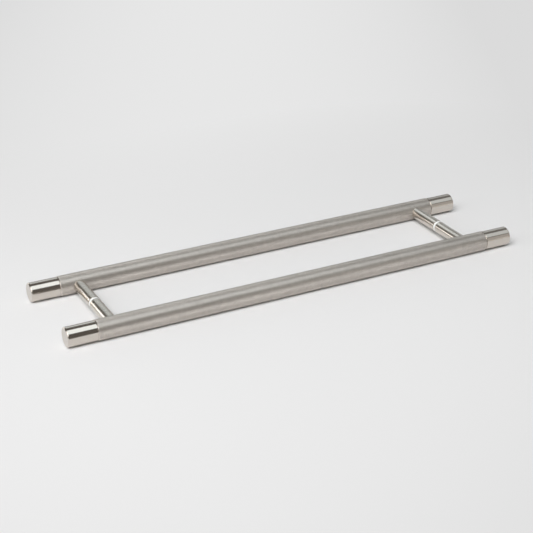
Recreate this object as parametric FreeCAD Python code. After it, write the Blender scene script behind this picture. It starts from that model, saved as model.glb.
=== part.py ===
"""Entry door pull for both faces of a door: two round grips, back to back, joined by two pairs of posts.

Frame: +X runs along the grips, +Y from the front grip to the rear grip, +Z up. The pull lies on its two
grips, with the origin on the surface below its middle. The door plane is Y = 0, where the washers of the
front half and of the rear half meet while no door stands between them.
"""
import math
import os

import FreeCAD, Part
from FreeCAD import Vector

# Driving dimensions in millimetres
grip_diameter = 20.7
grip_length = 440.0
grip_wall = 2.0
grip_bevel = 0.8

cap_length = 30.0
cap_step = 0.35
cap_end_chamfer = 0.9
spigot_past_stud = 11.0

bar_spacing = 108.0
post_from_grip_end = 20.0
post_diameter = 12.7
post_web = 4.0

washer_thickness = 1.5
washer_setback = 0.2

post_stud_diameter = 6.0
post_stud_in_post = 8.0
post_stud_in_spigot = 9.0
tie_stud_diameter = 6.0
stud_socket_across_flats = 3.0
stud_socket_depth = 3.0

grub_diameter = 5.0
grub_from_door_end = 7.0
grub_socket_across_flats = 2.5
grub_socket_depth = 1.6
grub_cup_depth = 0.6

# Clearances in millimetres, measured on the radius or along the axis
seat_clearance = 0.05
spigot_clearance = 0.1
thread_clearance = 0.1
sliding_clearance = 0.2
stud_hole_clearance = 0.3
stud_end_clearance = 0.5
grub_setback = 0.15

# Sizes that follow from the driving dimensions
grip_radius = grip_diameter / 2
grip_bore_radius = grip_radius - grip_wall
cap_radius = grip_radius - cap_step
spigot_radius = grip_bore_radius - spigot_clearance
post_radius = post_diameter / 2
post_stud_radius = post_stud_diameter / 2
tie_stud_radius = tie_stud_diameter / 2
grub_radius = grub_diameter / 2

axis_height = max(grip_radius, cap_radius)
bar_offset = bar_spacing / 2
joint_offset = grip_length / 2
post_offset = joint_offset - post_from_grip_end

# Distances from the door plane, along Y, on the front side and the rear side alike
post_door_end = washer_thickness
post_bar_end = bar_offset - grip_radius - seat_clearance
post_stud_start = post_bar_end - post_stud_in_post
post_stud_end = bar_offset - grip_bore_radius + post_stud_in_spigot
post_stud_hole_radius = post_stud_radius + thread_clearance
post_stud_hole_end = post_stud_start - stud_end_clearance
tie_bore_radii = {"front": tie_stud_radius + thread_clearance, "rear": tie_stud_radius + sliding_clearance}
tie_bore_end = post_stud_hole_end - post_web
tie_stud_half_length = tie_bore_end - stud_end_clearance

LEFT, RIGHT = -1, 1
FRONT, REAR = -1, 1
ends = {"left": LEFT, "right": RIGHT}
sides = {"front": FRONT, "rear": REAR}


def turned(section, start, direction):
    """A turned solid: a closed section of (distance along the axis, radius) points, spun about the axis.

    The axis runs from start along direction.
    """
    corners = [Vector(radius, 0, along) for along, radius in section]
    face = Part.Face(Part.makePolygon(corners + corners[:1]))
    solid = face.revolve(Vector(0, 0, 0), Vector(0, 0, 1), 360)
    turn = FreeCAD.Rotation(Vector(0, 0, 1), direction)
    return solid.transformed(FreeCAD.Placement(start, turn).toMatrix(), True)


def round_bar(radius, start, direction, length):
    """A plain cylinder, from start along direction, for round pieces and round cutters."""
    return Part.makeCylinder(radius, length, start, direction)


def hexagon_socket(across_flats, mouth, direction, depth):
    """The space of a hexagon socket, from its mouth inwards along direction."""
    corner_radius = across_flats / math.sqrt(3)
    corners = []
    for corner in range(6):
        angle = math.radians(60 * corner)
        corners.append(Vector(corner_radius * math.cos(angle), corner_radius * math.sin(angle), 0))
    prism = Part.Face(Part.makePolygon(corners + corners[:1])).extrude(Vector(0, 0, depth))
    turn = FreeCAD.Rotation(Vector(0, 0, 1), direction)
    return prism.transformed(FreeCAD.Placement(mouth, turn).toMatrix(), True)


def on_bar(x, side):
    """A point on the axis of the front or the rear grip."""
    return Vector(x, side * bar_offset, axis_height)


def on_post(x, side, distance):
    """A point on the axis of a post, at a distance from the door plane."""
    return Vector(x, side * distance, axis_height)


def grip(side):
    """One grip tube, bevelled at both ends, with a clearance hole for each post stud in its door side."""
    bevel_foot = grip_radius - grip_bevel
    section = [
        (0, grip_bore_radius),
        (0, bevel_foot),
        (grip_bevel, grip_radius),
        (grip_length - grip_bevel, grip_radius),
        (grip_length, bevel_foot),
        (grip_length, grip_bore_radius),
    ]
    tube = turned(section, on_bar(-joint_offset, side), Vector(1, 0, 0))
    towards_door = Vector(0, -side, 0)
    for end in ends.values():
        stud_place = on_bar(end * post_offset, side)
        hole = round_bar(post_stud_radius + stud_hole_clearance, stud_place, towards_door, bar_offset)
        tube = tube.cut(hole)
    return tube


def cap(end, side):
    """One turned end piece: the smooth end of the bar, and a spigot inside the grip tube.

    The post stud is screwed across the spigot, which ties the end piece, the tube and the post together.
    """
    spigot_length = post_from_grip_end + post_stud_radius + spigot_past_stud
    section = [
        (-spigot_length, 0),
        (-spigot_length, spigot_radius),
        (0, spigot_radius),
        (0, cap_radius),
        (cap_length - cap_end_chamfer, cap_radius),
        (cap_length, cap_radius - cap_end_chamfer),
        (cap_length, 0),
    ]
    piece = turned(section, on_bar(end * joint_offset, side), Vector(end, 0, 0))
    hole_bottom = on_post(end * post_offset, side, post_stud_end + stud_end_clearance)
    return piece.cut(round_bar(post_stud_hole_radius, hole_bottom, Vector(0, -side, 0), bar_offset))


def post(end, side_name):
    """One round post: saddled to the grip at its bar end, and bored for the tie stud at its door end."""
    side = sides[side_name]
    x = end * post_offset
    outward = Vector(0, side, 0)
    body = round_bar(post_radius, on_post(x, side, post_door_end), outward, bar_offset - post_door_end)
    saddle_start = Vector(x - post_diameter, side * bar_offset, axis_height)
    saddle = round_bar(grip_radius + seat_clearance, saddle_start, Vector(1, 0, 0), 2 * post_diameter)
    stud_hole = round_bar(post_stud_hole_radius, on_post(x, side, post_stud_hole_end), outward, bar_offset)
    tie_bore = round_bar(tie_bore_radii[side_name], on_post(x, side, 0), outward, tie_bore_end)
    body = body.cut(saddle).cut(stud_hole).cut(tie_bore)
    if side == REAR:
        grub_mouth = on_post(x, side, post_door_end + grub_from_door_end)
        grub_hole = round_bar(grub_radius + thread_clearance, grub_mouth, Vector(0, 0, -1), post_diameter)
        body = body.cut(grub_hole)
    return body


def washer(end, side):
    """One plastic washer between a post and the door."""
    outer = post_radius - washer_setback
    bore = tie_stud_radius + stud_hole_clearance
    section = [(0, bore), (0, outer), (washer_thickness, outer), (washer_thickness, bore)]
    return turned(section, on_post(end * post_offset, side, 0), Vector(0, side, 0))


def set_stud(radius, start, direction, length):
    """A set stud with a hexagon socket at its start. Its thread is left plain."""
    stud = round_bar(radius, start, direction, length)
    return stud.cut(hexagon_socket(stud_socket_across_flats, start, direction, stud_socket_depth))


def post_stud(end, side):
    """The set stud that fastens a post to its bar."""
    start = on_post(end * post_offset, side, post_stud_start)
    return set_stud(post_stud_radius, start, Vector(0, side, 0), post_stud_end - post_stud_start)


def tie_stud(end):
    """The long stud through the door, screwed into the front post and sliding into the rear post."""
    start = on_post(end * post_offset, REAR, tie_stud_half_length)
    return set_stud(tie_stud_radius, start, Vector(0, FRONT, 0), 2 * tie_stud_half_length)


def grub_screw(end):
    """The cup-point grub screw on the underside of a rear post, which grips the tie stud."""
    length = post_radius - grub_setback - tie_stud_radius - seat_clearance
    section = [(0, 0), (0, grub_radius), (length, grub_radius), (length - grub_cup_depth, 0)]
    y = post_door_end + grub_from_door_end
    mouth = Vector(end * post_offset, y, axis_height - post_radius + grub_setback)
    screw = turned(section, mouth, Vector(0, 0, 1))
    return screw.cut(hexagon_socket(grub_socket_across_flats, mouth, Vector(0, 0, 1), grub_socket_depth))


def build():
    """All pieces by name."""
    pieces = {}
    for side_name, side in sides.items():
        pieces[f"{side_name}_grip"] = grip(side)
        for end_name, end in ends.items():
            place = f"{side_name}_{end_name}"
            pieces[f"{place}_cap"] = cap(end, side)
            pieces[f"{place}_post"] = post(end, side_name)
            pieces[f"{place}_post_stud"] = post_stud(end, side)
            pieces[f"{place}_washer"] = washer(end, side)
    for end_name, end in ends.items():
        pieces[f"{end_name}_tie_stud"] = tie_stud(end)
        pieces[f"{end_name}_grub_screw"] = grub_screw(end)
    return pieces


os.makedirs("parts", exist_ok=True)
for name, shape in build().items():
    shape.exportStep(f"parts/{name}.step")
    box = shape.BoundBox
    print(f"{name}: {len(shape.Solids)} solid, {shape.Volume / 1000:.2f} cm3, "
          f"X {box.XMin:.2f} to {box.XMax:.2f}, Y {box.YMin:.2f} to {box.YMax:.2f}, "
          f"Z {box.ZMin:.2f} to {box.ZMax:.2f}")
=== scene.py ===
"""The looks of an entry door pull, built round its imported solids: knurled grips, polished ends, turned posts.

Everything is in metres in the frame of the solids: +X along the grips, +Y from the front grip to the rear
grip, +Z up, with the pull lying on its two grips.
"""
import math

import bmesh
import bpy
from bpy.props import FloatProperty, FloatVectorProperty, IntProperty, PointerProperty
from mathutils import Matrix, Quaternion, Vector


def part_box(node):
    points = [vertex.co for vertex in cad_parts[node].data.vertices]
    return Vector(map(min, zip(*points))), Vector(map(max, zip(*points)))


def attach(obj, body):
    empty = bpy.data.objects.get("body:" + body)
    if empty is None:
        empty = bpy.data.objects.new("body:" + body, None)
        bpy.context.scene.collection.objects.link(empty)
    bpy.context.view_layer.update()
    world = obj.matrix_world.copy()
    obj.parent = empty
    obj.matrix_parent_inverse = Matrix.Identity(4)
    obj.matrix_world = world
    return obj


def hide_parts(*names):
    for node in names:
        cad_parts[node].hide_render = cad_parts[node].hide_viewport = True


bl_info = {
    "name": "Entry door pull",
    "version": (1, 0, 0),
    "blender": (4, 5, 0),
    "location": "3D View > Sidebar > Door pull",
    "description": "Models the visible pieces and finishes of a back-to-back entry door pull",
    "category": "Object",
}

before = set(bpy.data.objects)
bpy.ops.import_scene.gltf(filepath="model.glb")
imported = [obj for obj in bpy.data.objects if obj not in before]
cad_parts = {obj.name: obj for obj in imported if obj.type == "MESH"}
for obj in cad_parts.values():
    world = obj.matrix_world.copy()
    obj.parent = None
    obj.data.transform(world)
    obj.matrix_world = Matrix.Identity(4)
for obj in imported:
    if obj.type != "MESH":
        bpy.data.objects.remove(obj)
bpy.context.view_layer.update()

FRONT, REAR = -1, 1
LEFT, RIGHT = -1, 1
SIDES = {"front": FRONT, "rear": REAR}
ENDS = {"left": LEFT, "right": RIGHT}

grip_low, grip_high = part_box("front_grip")
cap_low, cap_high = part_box("front_right_cap")
washer_low, washer_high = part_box("rear_right_washer")
post_low, post_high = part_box("rear_right_post")
post_stud_low, post_stud_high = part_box("rear_right_post_stud")
tie_stud_low, tie_stud_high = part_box("right_tie_stud")
grub_low, grub_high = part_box("right_grub_screw")

# A Mix node has sockets for numbers, vectors and colours. These are its share, its two colours and its result
MIX_SHARE, MIX_FIRST, MIX_SECOND, MIX_COLOUR = 0, 6, 7, 2

# The distance in metres over which a painted edge goes from one finish to the next
EDGE_BLUR = 0.0001

# The backdrop has a painted light falloff: it is palest along a middle line, and painted darker across this
# direction on both sides
BACKDROP_ACROSS = (0.894, -0.448)
BACKDROP_MIDDLE = -0.09
BACKDROP_REACH = 0.44
BACKDROP_SHADED_EDGE_SHARE = 0.885

FLOOR_HALF_WIDTH = 6
SENSOR_WIDTH = 36

NEUTRAL, COOL, WARM = (1, 1, 1), (0.88, 0.96, 1), (1, 0.98, 0.94)
ROOM_TINT = (1, 0.92, 0.84)
MAIN_TINT = (0.985, 0.99, 1)
MAIN_PLACE = (-1.72, -1.84, 3.11)
MAIN_SIZE = (3.0, 2.2)

# The floor gets all of the main light, and the steel shows only this share of it
MAIN_SHARE_IN_STEEL = 0.4

# What a lamp lights
ALL, STEEL, FLOOR = "all", "steel", "floor"
PULL = (0, 0, 0)

# The other soft lamps: name, place, the point that it faces, width, height, level, tint and what it lights
LAMPS = (
    ("front_left", (-1.56, -1.93, 1.68), PULL, 1.2, 0.9, 3.6, NEUTRAL, STEEL),
    ("left", (-2.32, -0.13, 0.9), PULL, 1.9, 1.4, 1.3, NEUTRAL, ALL),
    ("overhead", (0.2, -0.565, 1.5), (0.2, -0.565, 0), 1.6, 1.47, 1.36, COOL, STEEL),
    ("overhead_right", (1.45, -0.55, 1.5), (1.45, -0.55, 0), 0.9, 1.4, 0.69, COOL, ALL),
    ("back_left", (-0.86, 0.90, 0.15), (-0.2, 0, 0.1), 0.5, 0.30, 1.8, NEUTRAL, ALL),
    ("back_left_low", (-0.47, 0.95, 0.15), (0.2, 0, 0.1), 0.34, 0.28, 1.0, NEUTRAL, ALL),
    ("back_left_high", (-1.3, 2.2, 1.68), PULL, 0.8, 0.7, 0.2, NEUTRAL, ALL),
    ("back_mid", (0.115, 0.98, 0.86), (0.115, 0, 0.86), 0.67, 0.28, 1.0, COOL, ALL),
    ("back_wall", (0.35, 3.0, 1.48), (0.35, 0, 1.48), 2.3, 1.24, 0.57, COOL, ALL),
    ("back_wall_low", (0.35, 3.0, 0.45), (0.35, 0, 0.45), 2.3, 0.8, 0.38, COOL, ALL),
    ("back_right", (1.95, 3.0, 1.55), (1.95, 0, 1.55), 0.9, 2.9, 0.3, COOL, ALL),
    ("back_far_right", (3.3, 3.0, 1.9), (3.3, 0, 1.9), 1.8, 3.6, 0.52, COOL, ALL),
    ("back_high", (1.74, 1.74, 3.15), PULL, 2.2, 1.4, 0.1, COOL, ALL),
    ("front_right", (1.55, -2.2, 0.9), PULL, 1.45, 1.6, 0.38, WARM, ALL),
    ("front_low", (1.6, -2.6, 0.2), (1.6, 0, 0.2), 1.6, 0.36, 0.4, WARM, ALL),
)


def length(name, description, default):
    """A size in metres, shown in the sidebar."""
    return FloatProperty(name=name, description=description, default=default, unit="LENGTH", precision=5)


def colour(name, description, default):
    """A surface colour, shown in the sidebar."""
    return FloatVectorProperty(name=name, description=description, default=default, subtype="COLOR",
                               size=3, min=0, max=1)


class DoorPullSizes(bpy.types.PropertyGroup):
    """Sizes of the visible pieces."""

    grip_crest_radius: length("Grip radius", "Radius of a grip over the crests of its knurl", 0.01035)
    grip_bore_radius: length("Grip bore radius", "Radius inside a grip tube", 0.00835)
    grip_bevel: length("Grip bevel", "Height of the bevel at both ends of a grip", 0.0008)
    grip_bevel_length: length("Grip bevel length", "Length of the bevel at both ends of a grip", 0.001)
    stud_hole_clearance: length("Stud hole clearance", "Room round a stud in a grip or washer", 0.0003)
    cap_radius: length("End piece radius", "Radius of the smooth end pieces", 0.01)
    cap_chamfer: length("End piece chamfer", "Width of the chamfer round an end face", 0.0009)
    spigot_radius: length("Spigot radius", "Radius of an end piece inside the grip", 0.00825)
    post_radius: length("Post radius", "Radius of the posts", 0.00635)
    stud_radius: length("Stud radius", "Radius of the post studs and the tie studs", 0.003)
    thread_clearance: length("Thread clearance", "Room round a stud in its tapped hole", 0.0001)
    sliding_clearance: length("Sliding clearance", "Room round a tie stud in a rear post", 0.0002)
    stud_end_clearance: length("Stud end clearance", "Room between a stud and the bottom of its hole", 0.0005)
    saddle_clearance: length("Saddle clearance", "Room between a post's saddle and the grip", 0.00005)
    washer_radius: length("Washer radius", "Radius of the white washers", 0.00615)
    grub_radius: length("Grub screw radius", "Radius of the grub screws", 0.0025)
    cap_rounding: length("End piece rounding", "Width of the rounded edges of an end piece", 0.00015)
    post_rounding: length("Post rounding", "Width of the rounded edges of a post", 0.0004)
    washer_rounding: length("Washer rounding", "Width of the rounded edges of a washer", 0.00012)
    round_steps: IntProperty(name="Round steps", description="Faces round a turned piece", default=144, min=24)


class DoorPullKnurl(bpy.types.PropertyGroup):
    """The cross knurl rolled into the grips."""

    diamonds_round: IntProperty(name="Diamonds round", description="Diamonds in one ring round the grip",
                                default=50, min=12)
    groove_angle: FloatProperty(name="Groove angle", description="Angle of the grooves to the grip's length",
                                default=math.radians(30), subtype="ANGLE")
    groove_width: length("Groove width", "Width of a groove at the crests", 0.00027)
    groove_depth: length("Groove depth", "Depth of a groove below the crests", 0.00012)


class DoorPullFinishes(bpy.types.PropertyGroup):
    """Colours of the finishes."""

    crest_colour: colour("Knurl crests", "Steel on the crests of the knurl", (0.665, 0.616, 0.57))
    # The groove colour is darker than the crests as painted shade in the knurl's grooves
    groove_shade_colour: colour("Knurl grooves", "Steel in the grooves of the knurl", (0.36, 0.335, 0.305))
    polished_colour: colour("End pieces", "Polished steel of the end pieces", (0.67, 0.62, 0.565))
    turned_colour: colour("Posts", "Turned steel of the posts", (0.78, 0.73, 0.663))
    nylon_colour: colour("Washers", "White nylon of the washers", (0.86, 0.86, 0.84))
    fixing_colour: colour("Studs and screws", "Plain steel of the studs and grub screws", (0.45, 0.44, 0.42))


class DoorPullStudio(bpy.types.PropertyGroup):
    """Camera, floor and light."""

    azimuth: FloatProperty(name="Azimuth", description="Angle of the camera round the pull",
                           default=math.radians(-26.598), subtype="ANGLE")
    elevation: FloatProperty(name="Elevation", description="Angle of the camera above the floor",
                             default=math.radians(24.918), subtype="ANGLE")
    roll: FloatProperty(name="Roll", description="Turn of the camera about its view",
                        default=math.radians(-0.708), subtype="ANGLE")
    distance: length("Camera distance", "Distance from the camera to its target", 1.3893)
    target: FloatVectorProperty(name="Camera target", description="Point that the camera looks at",
                                default=(-0.01355, -0.00296, 0.01035), subtype="TRANSLATION", precision=5)
    lens: FloatProperty(name="Lens", description="Focal length on a 36 mm wide picture", default=90.836,
                        unit="CAMERA")
    floor_colour: colour("Floor", "Pale matt floor", (0.84, 0.84, 0.84))
    backdrop_colour: colour("Backdrop", "Pale backdrop that the far floor fades into", (0.80, 0.80, 0.80))
    fade_start: length("Fade start", "Distance from the pull at which the floor starts to fade", 0.05)
    fade_end: length("Fade end", "Distance from the pull at which only the backdrop shows", 0.42)
    room_level: FloatProperty(name="Room level", description="Light of the room all round the pull",
                              default=0.125, min=0)
    main_level: FloatProperty(name="Main light", description="Light of the broad lamp at the front left",
                              default=8.4, min=0)


class Signal:
    """A number that varies over a surface. Arithmetic on it adds Math nodes."""

    def __init__(self, tree, socket):
        self.tree = tree
        self.socket = socket

    def math(self, operation, *values):
        node = self.tree.nodes.new("ShaderNodeMath")
        node.operation = operation
        for socket, value in zip(node.inputs, values):
            plug(self.tree, socket, value)
        return Signal(self.tree, node.outputs[0])

    def __add__(self, other):
        return self.math("ADD", self, other)

    def __radd__(self, other):
        return self.math("ADD", other, self)

    def __sub__(self, other):
        return self.math("SUBTRACT", self, other)

    def __rsub__(self, other):
        return self.math("SUBTRACT", other, self)

    def __mul__(self, other):
        return self.math("MULTIPLY", self, other)

    def __rmul__(self, other):
        return self.math("MULTIPLY", other, self)

    def __truediv__(self, other):
        return self.math("DIVIDE", self, other)

    def __pow__(self, other):
        return self.math("POWER", self, other)

    def __abs__(self):
        return self.math("ABSOLUTE", self)

    def clamped(self):
        """The number kept between 0 and 1."""
        return self.math("MINIMUM", self.math("MAXIMUM", self, 0.0), 1.0)


def plug(tree, socket, value):
    """Links a signal or a socket to a socket, or sets a plain value on it."""
    if isinstance(value, Signal):
        tree.links.new(value.socket, socket)
    elif isinstance(value, bpy.types.NodeSocket):
        tree.links.new(value, socket)
    else:
        socket.default_value = value


class Finish:
    """A material, or the world, made of nodes round one shader."""

    def __init__(self, tree):
        self.tree = tree
        self.tree.nodes.clear()

    def node(self, kind, settings=None, sockets=None):
        """Adds a node: its settings first, then the values or links of its sockets."""
        node = self.tree.nodes.new(kind)
        for name, value in (settings or {}).items():
            setattr(node, name, value)
        for name, value in (sockets or {}).items():
            plug(self.tree, node.inputs[name], value)
        return node

    def signal(self, kind, settings, sockets):
        """Adds a node and gives its first output as a signal."""
        return Signal(self.tree, self.node(kind, settings, sockets).outputs[0])

    def position(self):
        """The three object coordinates of the point being shaded, in metres."""
        place = self.node("ShaderNodeTexCoord").outputs["Object"]
        parts = self.node("ShaderNodeSeparateXYZ", sockets={"Vector": place})
        return [Signal(self.tree, parts.outputs[axis]) for axis in "XYZ"]

    def noise(self, scale, detail):
        """Cloudy noise in object space, with a scale in features per metre."""
        place = self.node("ShaderNodeTexCoord").outputs["Object"]
        return self.signal("ShaderNodeTexNoise", {"noise_dimensions": "3D"},
                           {"Vector": place, "Scale": scale, "Detail": detail, "Roughness": 0.5})

    def lines(self, along, scale, detail):
        """Noise that varies along one number alone, as tool marks do."""
        return self.signal("ShaderNodeTexNoise", {"noise_dimensions": "1D"},
                           {"W": along, "Scale": scale, "Detail": detail, "Roughness": 0.6})

    def blend(self, share, first, second):
        """A colour between two colours."""
        mix = self.node("ShaderNodeMix", {"data_type": "RGBA"},
                        {MIX_SHARE: share, MIX_FIRST: first, MIX_SECOND: second})
        return mix.outputs[MIX_COLOUR]

    def bump(self, height, distance):
        """A normal from a height between 0 and 1, for a relief of that distance in metres."""
        return self.node("ShaderNodeBump", sockets={"Height": height, "Distance": distance}).outputs["Normal"]

    def principled(self, sockets):
        """The Principled shader that the material shows."""
        shader = self.node("ShaderNodeBsdfPrincipled", sockets=sockets)
        self.node("ShaderNodeOutputMaterial", sockets={"Surface": shader.outputs[0]})


def opaque(rgb, share=1.0):
    """A share of a colour, with its alpha."""
    return (*[share * part for part in rgb], 1.0)


def material(name):
    """A new material and its empty finish."""
    made = bpy.data.materials.new(name)
    made.use_nodes = True
    return made, Finish(made.node_tree)


def distance_from(first, second):
    """Distance of the shaded point from an axis, from its offsets across it."""
    return (first * first + second * second) ** 0.5


def bar_offset():
    """Distance of a grip's axis from the door plane."""
    return -(grip_low.y + grip_high.y) / 2


def axis_height():
    """Height of every grip's and post's axis above the floor."""
    return (cap_low.z + cap_high.z) / 2


def post_offset():
    """Distance of the posts from the middle."""
    return (post_low.x + post_high.x) / 2


def knurled_steel(sizes, knurl, finishes):
    """Satin steel with brighter crests, rougher grooves painted darker as shade, and polished bevels at the
    ends of a grip.
    """
    made, finish = material("knurled_steel")
    x, y, z = finish.position()
    radius = distance_from(abs(y) - bar_offset(), z - axis_height())
    root = sizes.grip_crest_radius - knurl.groove_depth
    crest = ((radius - root) / knurl.groove_depth).clamped()
    cloud = finish.noise(scale=70, detail=3)
    wear = finish.noise(scale=240, detail=2)
    grain = finish.noise(scale=5200, detail=3)
    bevel = ((abs(x) - (grip_high.x - sizes.grip_bevel_length)) / EDGE_BLUR).clamped()
    # The share between the groove and crest colours paints shade into the grooves; the noises add random tone,
    # and the bevels take the crest colour
    shade = crest * 0.8 + bevel + (cloud - 0.5) * 0.2 + (wear - 0.5) * 0.5 + (grain - 0.5) * 0.15
    finish.principled({
        "Base Color": finish.blend(shade.clamped(), opaque(finishes.groove_shade_colour),
                                   opaque(finishes.crest_colour)),
        "Metallic": 1.0,
        "Roughness": 0.43 - crest * 0.06 - bevel * 0.2 + (cloud - 0.5) * 0.06,
        "Normal": finish.bump(grain, distance=0.000012),
    })
    return made


def polished_steel(finishes):
    """Fine turned and polished steel, with faint rings round the axis and on the end face."""
    made, finish = material("polished_steel")
    x, y, z = finish.position()
    along = abs(x) + distance_from(abs(y) - bar_offset(), z - axis_height())
    rings = finish.lines(along, scale=9000, detail=3)
    cloud = finish.noise(scale=55, detail=3)
    worn = opaque(finishes.polished_colour, 0.93)
    finish.principled({
        "Base Color": finish.blend(cloud, worn, opaque(finishes.polished_colour)),
        "Metallic": 1.0,
        "Roughness": 0.13 + (cloud - 0.5) * 0.05 + (rings - 0.5) * 0.05,
        "Normal": finish.bump(rings, distance=0.0000015),
    })
    return made


def turned_steel(finishes):
    """Turned steel of the posts, with fine tool marks and broader rings round their axis."""
    made, finish = material("turned_steel")
    x, y, z = finish.position()
    along = abs(y) + distance_from(abs(x) - post_offset(), z - axis_height())
    marks = finish.lines(along, scale=6500, detail=3)
    rings = ((finish.lines(along, scale=420, detail=2) - 0.5) * 3 + 0.5).clamped()
    cloud = finish.noise(scale=80, detail=3)
    shade = cloud * 0.4 + rings * 0.6
    worn = opaque(finishes.turned_colour, 0.74)
    finish.principled({
        "Base Color": finish.blend(shade, worn, opaque(finishes.turned_colour)),
        "Metallic": 1.0,
        "Roughness": 0.17 + (cloud - 0.5) * 0.06 + (marks - 0.5) * 0.06 + (rings - 0.5) * 0.12,
        "Normal": finish.bump(marks * 0.1 + rings, distance=0.00002),
    })
    return made


def white_nylon(finishes):
    """Natural white nylon, slightly mottled and not quite smooth."""
    made, finish = material("white_nylon")
    mottle = finish.noise(scale=400, detail=3)
    skin = finish.noise(scale=7000, detail=2)
    shaded = opaque(finishes.nylon_colour, 0.93)
    finish.principled({
        "Base Color": finish.blend(mottle, shaded, opaque(finishes.nylon_colour)),
        "Roughness": 0.42 + (mottle - 0.5) * 0.12,
        "Normal": finish.bump(skin, distance=0.00001),
    })
    return made


def fixing_steel(finishes):
    """Plain dark steel of the studs and grub screws, oiled and a little uneven."""
    made, finish = material("fixing_steel")
    cloud = finish.noise(scale=350, detail=4)
    grain = finish.noise(scale=6000, detail=2)
    oiled = opaque(finishes.fixing_colour, 0.75)
    finish.principled({
        "Base Color": finish.blend(cloud, oiled, opaque(finishes.fixing_colour)),
        "Metallic": 1.0,
        "Roughness": 0.3 + (cloud - 0.5) * 0.15,
        "Normal": finish.bump(grain, distance=0.000008),
    })
    return made


def supported(section, gap):
    """A section with a point just inside both ends of each long side, which keeps the shading true there."""
    points = []
    for start, end in zip(section, section[1:]):
        start, end = Vector(start), Vector(end)
        points.append(start)
        step = end - start
        if step.length > 4 * gap:
            points.append(start + step.normalized() * gap)
            points.append(end - step.normalized() * gap)
    points.append(Vector(section[-1]))
    return points


def turned(section, place, axis, steps, gap):
    """A closed turned shape: a section of (distance along the axis, radius) points, spun about the axis."""
    bm = bmesh.new()
    outward = Vector((0, 0, 1))
    chain = [bm.verts.new(place + axis * along + outward * radius)
             for along, radius in supported(section, gap)]
    for start, end in zip(chain, chain[1:]):
        bm.edges.new((start, end))
    bmesh.ops.spin(bm, geom=bm.verts[:] + bm.edges[:], cent=place, axis=axis, angle=math.tau, steps=steps,
                   use_merge=True)
    bmesh.ops.remove_doubles(bm, verts=bm.verts, dist=1e-7)
    bmesh.ops.recalc_face_normals(bm, faces=bm.faces)
    return bm


def round_edges(bm, width):
    """Rounds every sharp edge."""
    least_angle = math.radians(30)
    sharp = [edge for edge in bm.edges if edge.is_manifold and edge.calc_face_angle() > least_angle]
    bmesh.ops.bevel(bm, geom=sharp, offset=width, offset_type="OFFSET", segments=3, profile=0.5,
                    affect="EDGES", material=-1, clamp_overlap=True)


def finished(bm, name, finish, smooth_angle=35):
    """Makes the object of a bmesh, on the pull's one body, in place of the solid of the same name."""
    mesh = bpy.data.meshes.new(f"{name}_skin")
    bm.to_mesh(mesh)
    bm.free()
    mesh.materials.append(finish)
    mesh.shade_smooth()
    mesh.set_sharp_from_angle(angle=math.radians(smooth_angle))
    piece = bpy.data.objects.new(f"{name}_skin", mesh)
    bpy.context.scene.collection.objects.link(piece)
    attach(piece, "root")
    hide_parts(name)
    return piece


def drill(piece, place, axis, radius, depth, steps=64):
    """Cuts a round hole into a piece, from place along axis."""
    bm = bmesh.new()
    turn = axis.to_track_quat("Z", "Y").to_matrix().to_4x4()
    bmesh.ops.create_cone(bm, cap_ends=True, cap_tris=False, segments=steps, radius1=radius, radius2=radius,
                          depth=depth, matrix=Matrix.Translation(place + axis * depth / 2) @ turn)
    mesh = bpy.data.meshes.new("drill")
    bm.to_mesh(mesh)
    bm.free()
    tool = bpy.data.objects.new("drill", mesh)
    bpy.context.scene.collection.objects.link(tool)
    cut = piece.modifiers.new("hole", "BOOLEAN")
    cut.operation = "DIFFERENCE"
    cut.solver = "EXACT"
    cut.object = tool
    drilled = bpy.data.meshes.new_from_object(piece.evaluated_get(bpy.context.evaluated_depsgraph_get()))
    piece.modifiers.clear()
    plain = piece.data
    piece.data = drilled
    bpy.data.meshes.remove(plain)
    bpy.data.objects.remove(tool)
    bpy.data.meshes.remove(mesh)


def knurled_sheet(sizes, knurl, grip_length):
    """The grip's outside laid flat: X along it, Y round it and Z up from the bottom of the grooves.

    A square grid is slanted into diamonds, which stand up from the grooves between them.
    """
    around = knurl.diamonds_round
    pitch_round = math.tau * sizes.grip_crest_radius / around
    pitch_along = pitch_round / math.tan(knurl.groove_angle)
    spare_rows = 2
    rows = math.ceil(2 * grip_length / pitch_along) + around + spare_rows
    bm = bmesh.new()
    bmesh.ops.create_grid(bm, x_segments=around, y_segments=rows, size=0.5)
    lattice = Matrix.Identity(4)
    lattice[0][0], lattice[0][1] = around * pitch_along / 2, rows * pitch_along / 2
    lattice[1][0], lattice[1][1] = -around * pitch_round / 2, rows * pitch_round / 2
    bmesh.ops.transform(bm, matrix=lattice, verts=bm.verts)
    bmesh.ops.inset_individual(bm, faces=bm.faces[:], thickness=knurl.groove_width / 2,
                               depth=knurl.groove_depth, use_even_offset=True)
    half = grip_length / 2
    for end in ENDS.values():
        outward = Vector((end, 0, 0))
        bmesh.ops.bisect_plane(bm, geom=bm.verts[:] + bm.edges[:] + bm.faces[:], plane_co=outward * half,
                               plane_no=outward, clear_outer=True)
        bevel_at_groove = sizes.grip_bevel_length * (1 - knurl.groove_depth / sizes.grip_bevel)
        for setback in (sizes.grip_bevel_length, bevel_at_groove):
            bmesh.ops.bisect_plane(bm, geom=bm.verts[:] + bm.edges[:] + bm.faces[:],
                                   plane_co=outward * (half - setback), plane_no=outward)
    return bm


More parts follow.
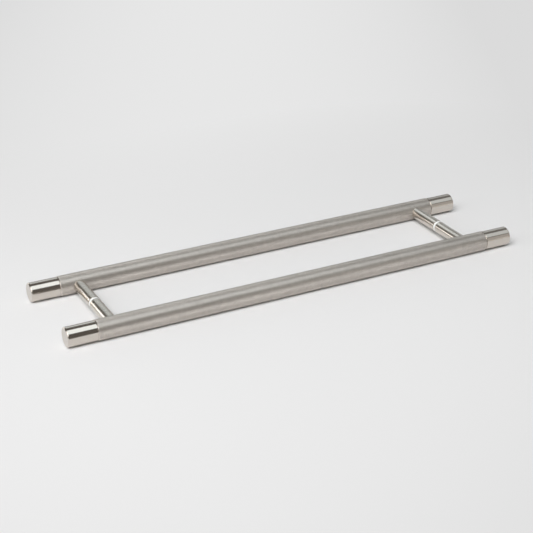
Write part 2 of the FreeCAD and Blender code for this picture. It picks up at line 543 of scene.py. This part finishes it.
def rolled(bm, sizes, knurl, grip_length, place):
    """Rolls the flat sheet into a tube about the grip's axis, and turns the bevels at its ends."""
    root = sizes.grip_crest_radius - knurl.groove_depth
    bevel_foot = sizes.grip_crest_radius - sizes.grip_bevel
    bevel_slope = sizes.grip_bevel / sizes.grip_bevel_length
    for vert in bm.verts:
        angle = vert.co.y / sizes.grip_crest_radius
        from_end = grip_length / 2 - abs(vert.co.x)
        radius = min(root + vert.co.z, bevel_foot + from_end * bevel_slope)
        vert.co = place + Vector((vert.co.x, -radius * math.sin(angle), radius * math.cos(angle)))
    bmesh.ops.remove_doubles(bm, verts=bm.verts, dist=1e-6)


def close_tube(bm, sizes, place):
    """Adds the flat ends of the tube and its bore."""
    rim = [edge for edge in bm.edges if edge.is_boundary]
    inner = bmesh.ops.extrude_edge_only(bm, edges=rim)["geom"]
    bevel_foot = sizes.grip_crest_radius - sizes.grip_bevel
    shrink = sizes.grip_bore_radius / bevel_foot
    bmesh.ops.scale(bm, vec=(1, shrink, shrink), space=Matrix.Translation(-place),
                    verts=[part for part in inner if isinstance(part, bmesh.types.BMVert)])
    bore = [edge for edge in bm.edges if edge.is_boundary]
    bmesh.ops.bridge_loops(bm, edges=bore)
    bmesh.ops.recalc_face_normals(bm, faces=bm.faces)


class DOORPULL_OT_grips(bpy.types.Operator):
    """Models the two knurled grip tubes"""

    bl_idname = "door_pull.grips"
    bl_label = "Knurled grips"

    def execute(self, context):
        sizes = context.scene.door_pull_sizes
        knurl = context.scene.door_pull_knurl
        finish = knurled_steel(sizes, knurl, context.scene.door_pull_finishes)
        grip_length = grip_high.x - grip_low.x
        for side_name, side in SIDES.items():
            place = Vector((0, side * bar_offset(), axis_height()))
            bm = knurled_sheet(sizes, knurl, grip_length)
            rolled(bm, sizes, knurl, grip_length, place)
            close_tube(bm, sizes, place)
            finished(bm, f"{side_name}_grip", finish, smooth_angle=25)
        return {"FINISHED"}


class DOORPULL_OT_end_pieces(bpy.types.Operator):
    """Models the four polished end pieces, with their spigots inside the grips"""

    bl_idname = "door_pull.end_pieces"
    bl_label = "End pieces"

    def execute(self, context):
        sizes = context.scene.door_pull_sizes
        finish = polished_steel(context.scene.door_pull_finishes)
        joint = grip_high.x
        spigot_end = cap_low.x - joint
        cap_end = cap_high.x - joint
        section = [
            (spigot_end, 0),
            (spigot_end, sizes.spigot_radius),
            (0, sizes.spigot_radius),
            (0, sizes.cap_radius),
            (cap_end - sizes.cap_chamfer, sizes.cap_radius),
            (cap_end, sizes.cap_radius - sizes.cap_chamfer),
            (cap_end, 0),
        ]
        hole_radius = sizes.stud_radius + sizes.thread_clearance
        for side_name, side in SIDES.items():
            for end_name, end in ENDS.items():
                place = Vector((end * joint, side * bar_offset(), axis_height()))
                bm = turned(section, place, Vector((end, 0, 0)), sizes.round_steps, 2 * sizes.cap_rounding)
                round_edges(bm, sizes.cap_rounding)
                piece = finished(bm, f"{side_name}_{end_name}_cap", finish)
                hole_bottom = Vector((end * post_offset(),
                                      side * (post_stud_high.y + sizes.stud_end_clearance), axis_height()))
                drill(piece, hole_bottom, Vector((0, -side, 0)), hole_radius, bar_offset())
        return {"FINISHED"}


def post_section(sizes, tie_bore_radius):
    """Section of a post, along Y, from the bottom of its tie bore round to the bottom of its stud hole."""
    stud_hole_radius = sizes.stud_radius + sizes.thread_clearance
    stud_hole_bottom = post_stud_low.y - sizes.stud_end_clearance
    tie_bore_bottom = tie_stud_high.y + sizes.stud_end_clearance
    door_end = post_low.y
    bar_end = bar_offset()
    section = [
        (tie_bore_bottom, 0),
        (tie_bore_bottom, tie_bore_radius),
        (door_end, tie_bore_radius),
        (door_end, sizes.post_radius),
    ]
    rings = 5
    for ring in range(rings):
        share = ring / (rings - 1)
        section.append((bar_end, sizes.post_radius + share * (stud_hole_radius - sizes.post_radius)))
    section += [(stud_hole_bottom, stud_hole_radius), (stud_hole_bottom, 0)]
    return section


def saddle(bm, sizes, side, gap):
    """Hollows the bar end of a post to fit the grip, together with the rings beside the end face."""
    saddle_radius = sizes.grip_crest_radius + sizes.saddle_clearance
    last_rings = bar_offset() - 1.5 * gap
    for vert in bm.verts:
        if abs(vert.co.y) > last_rings:
            height = vert.co.z - axis_height()
            vert.co.y -= side * math.sqrt(saddle_radius ** 2 - height ** 2)


class DOORPULL_OT_posts(bpy.types.Operator):
    """Models the four turned posts, saddled to the grips"""

    bl_idname = "door_pull.posts"
    bl_label = "Posts"

    def execute(self, context):
        sizes = context.scene.door_pull_sizes
        finish = turned_steel(context.scene.door_pull_finishes)
        tie_bore_radii = {
            "front": sizes.stud_radius + sizes.thread_clearance,
            "rear": sizes.stud_radius + sizes.sliding_clearance,
        }
        gap = 2 * sizes.post_rounding
        for side_name, side in SIDES.items():
            section = post_section(sizes, tie_bore_radii[side_name])
            for end_name, end in ENDS.items():
                place = Vector((end * post_offset(), 0, axis_height()))
                bm = turned(section, place, Vector((0, side, 0)), sizes.round_steps, gap)
                saddle(bm, sizes, side, gap)
                round_edges(bm, sizes.post_rounding)
                piece = finished(bm, f"{side_name}_{end_name}_post", finish)
                if side == REAR:
                    grub_place = place + Vector((0, (grub_low.y + grub_high.y) / 2, 0))
                    drill(piece, grub_place, Vector((0, 0, -1)), sizes.grub_radius + sizes.thread_clearance,
                          2 * sizes.post_radius)
        return {"FINISHED"}


class DOORPULL_OT_washers(bpy.types.Operator):
    """Models the four white washers that lie against the door"""

    bl_idname = "door_pull.washers"
    bl_label = "Washers"

    def execute(self, context):
        sizes = context.scene.door_pull_sizes
        finish = white_nylon(context.scene.door_pull_finishes)
        bore = sizes.stud_radius + sizes.stud_hole_clearance
        thickness = washer_high.y - washer_low.y
        section = [(0, bore), (0, sizes.washer_radius), (thickness, sizes.washer_radius), (thickness, bore),
                   (0, bore)]
        for side_name, side in SIDES.items():
            for end_name, end in ENDS.items():
                place = Vector((end * post_offset(), 0, axis_height()))
                bm = turned(section, place, Vector((0, side, 0)), sizes.round_steps, 2 * sizes.washer_rounding)
                round_edges(bm, sizes.washer_rounding)
                finished(bm, f"{side_name}_{end_name}_washer", finish)
        return {"FINISHED"}


class DOORPULL_OT_fixings(bpy.types.Operator):
    """Gives the studs and grub screws their finish"""

    bl_idname = "door_pull.fixings"
    bl_label = "Studs and grub screws"

    def execute(self, context):
        finish = fixing_steel(context.scene.door_pull_finishes)
        for name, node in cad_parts.items():
            if name.endswith(("stud", "screw")):
                node.material_slots[0].material = finish
        return {"FINISHED"}


def soft_lamp(name, place, aim, width, height, level, tint, lights):
    """A plain rectangular soft lamp. In the steel it shows at its level, where 1 is white."""
    lamp = bpy.data.lights.new(name, "AREA")
    lamp.shape = "RECTANGLE"
    lamp.size = width
    lamp.size_y = height
    lamp.energy = level * width * height * math.pi
    lamp.color = tint
    holder = bpy.data.objects.new(name, lamp)
    holder.location = place
    holder.rotation_mode = "QUATERNION"
    holder.rotation_quaternion = (Vector(aim) - Vector(place)).to_track_quat("-Z", "Y")
    holder.visible_camera = False
    holder.visible_diffuse = lights != STEEL
    holder.visible_glossy = lights != FLOOR
    bpy.context.scene.collection.objects.link(holder)


class DOORPULL_OT_studio(bpy.types.Operator):
    """Sets up the floor, the light and the camera"""

    bl_idname = "door_pull.studio"
    bl_label = "Studio"

    def execute(self, context):
        studio = context.scene.door_pull_studio
        self.floor(studio)
        self.light(studio)
        self.camera(context.scene, studio)
        context.scene.view_settings.view_transform = "Standard"
        return {"FINISHED"}

    def floor(self, studio):
        """A pale matt floor, which the camera and the steel see fade into the backdrop round the pull; the
        backdrop carries a painted falloff of light towards its sides.
        """
        bm = bmesh.new()
        bmesh.ops.create_grid(bm, x_segments=1, y_segments=1, size=FLOOR_HALF_WIDTH)
        mesh = bpy.data.meshes.new("floor")
        bm.to_mesh(mesh)
        bm.free()
        made, finish = material("floor_paint")
        x, y, z = finish.position()
        cloud = finish.noise(scale=3, detail=2)
        paint = finish.node("ShaderNodeBsdfPrincipled", sockets={
            "Base Color": finish.blend(cloud, opaque(studio.floor_colour, 0.985), opaque(studio.floor_colour)),
            "Roughness": 0.9,
            "Specular IOR Level": 0.1,
        })
        # Painted light falloff on the backdrop: its colour is darkened away from a middle line
        aside = x * BACKDROP_ACROSS[0] + y * BACKDROP_ACROSS[1]
        across = (aside - BACKDROP_MIDDLE) / BACKDROP_REACH
        painted_falloff_tone = finish.blend((across * across).clamped(), opaque(studio.backdrop_colour),
                            opaque(studio.backdrop_colour, BACKDROP_SHADED_EDGE_SHARE))
        backdrop = finish.node("ShaderNodeEmission", sockets={"Color": painted_falloff_tone})
        beside = (abs(x) - grip_high.x).clamped()
        before = (abs(y) - bar_offset()).clamped()
        fade_width = studio.fade_end - studio.fade_start
        fade = (distance_from(beside, before) - studio.fade_start) / fade_width
        rays = finish.node("ShaderNodeLightPath").outputs
        seen = Signal(made.node_tree, rays["Is Camera Ray"]) + Signal(made.node_tree, rays["Is Glossy Ray"])
        mixed = finish.node("ShaderNodeMixShader", sockets={0: fade.clamped() * seen.clamped(),
                                                            1: paint.outputs[0], 2: backdrop.outputs[0]})
        finish.node("ShaderNodeOutputMaterial", sockets={"Surface": mixed.outputs[0]})
        mesh.materials.append(made)
        floor = bpy.data.objects.new("floor", mesh)
        bpy.context.scene.collection.objects.link(floor)

    def light(self, studio):
        """A dim room, the main light in its two parts, and the lamps that shape the steel."""
        world = bpy.data.worlds.new("room")
        world.use_nodes = True
        bpy.context.scene.world = world
        finish = Finish(world.node_tree)
        rays = finish.node("ShaderNodeLightPath").outputs
        room = finish.node("ShaderNodeBackground",
                           sockets={"Color": opaque(ROOM_TINT), "Strength": studio.room_level})
        backdrop = finish.node("ShaderNodeBackground", sockets={"Color": opaque(studio.backdrop_colour)})
        mixed = finish.node("ShaderNodeMixShader",
                            sockets={0: rays["Is Camera Ray"], 1: room.outputs[0], 2: backdrop.outputs[0]})
        finish.node("ShaderNodeOutputWorld", sockets={"Surface": mixed.outputs[0]})
        in_steel = MAIN_SHARE_IN_STEEL * studio.main_level
        on_floor = (1 - MAIN_SHARE_IN_STEEL) * studio.main_level
        soft_lamp("main", MAIN_PLACE, PULL, *MAIN_SIZE, in_steel, MAIN_TINT, ALL)
        soft_lamp("fill", MAIN_PLACE, PULL, *MAIN_SIZE, on_floor, MAIN_TINT, FLOOR)
        for lamp in LAMPS:
            soft_lamp(*lamp)

    def camera(self, scene, studio):
        """The camera at the photo's viewing angle."""
        data = bpy.data.cameras.new("camera")
        data.sensor_width = SENSOR_WIDTH
        data.lens = studio.lens
        data.clip_start = 0.01
        data.clip_end = 100
        camera = bpy.data.objects.new("camera", data)
        back = Vector((
            math.sin(studio.azimuth) * math.cos(studio.elevation),
            -math.cos(studio.azimuth) * math.cos(studio.elevation),
            math.sin(studio.elevation),
        ))
        camera.location = Vector(studio.target) + back * studio.distance
        camera.rotation_mode = "QUATERNION"
        level = (-back).to_track_quat("-Z", "Y")
        camera.rotation_quaternion = level @ Quaternion((0, 0, 1), studio.roll)
        scene.collection.objects.link(camera)
        scene.camera = camera


PIECES = (DOORPULL_OT_grips, DOORPULL_OT_end_pieces, DOORPULL_OT_posts, DOORPULL_OT_washers,
          DOORPULL_OT_fixings, DOORPULL_OT_studio)
SETTINGS = {
    "door_pull_sizes": DoorPullSizes,
    "door_pull_knurl": DoorPullKnurl,
    "door_pull_finishes": DoorPullFinishes,
    "door_pull_studio": DoorPullStudio,
}


class DOORPULL_PT_panel(bpy.types.Panel):
    """Sizes, finishes and steps of the door pull"""

    bl_idname = "DOORPULL_PT_panel"
    bl_label = "Door pull"
    bl_space_type = "VIEW_3D"
    bl_region_type = "UI"
    bl_category = "Door pull"

    def draw(self, context):
        for setting, group in SETTINGS.items():
            box = self.layout.box()
            for name in group.__annotations__:
                box.prop(getattr(context.scene, setting), name)
        for step in PIECES:
            self.layout.operator(step.bl_idname)


CLASSES = (*SETTINGS.values(), *PIECES, DOORPULL_PT_panel)


def register():
    for made in CLASSES:
        bpy.utils.register_class(made)
    for name, group in SETTINGS.items():
        setattr(bpy.types.Scene, name, PointerProperty(type=group))


def unregister():
    for name in SETTINGS:
        delattr(bpy.types.Scene, name)
    for made in reversed(CLASSES):
        bpy.utils.unregister_class(made)


def main():
    """Builds every piece, then the studio."""
    register()
    bpy.ops.door_pull.grips()
    bpy.ops.door_pull.end_pieces()
    bpy.ops.door_pull.posts()
    bpy.ops.door_pull.washers()
    bpy.ops.door_pull.fixings()
    bpy.ops.door_pull.studio()


if __name__ == "__main__":
    main()
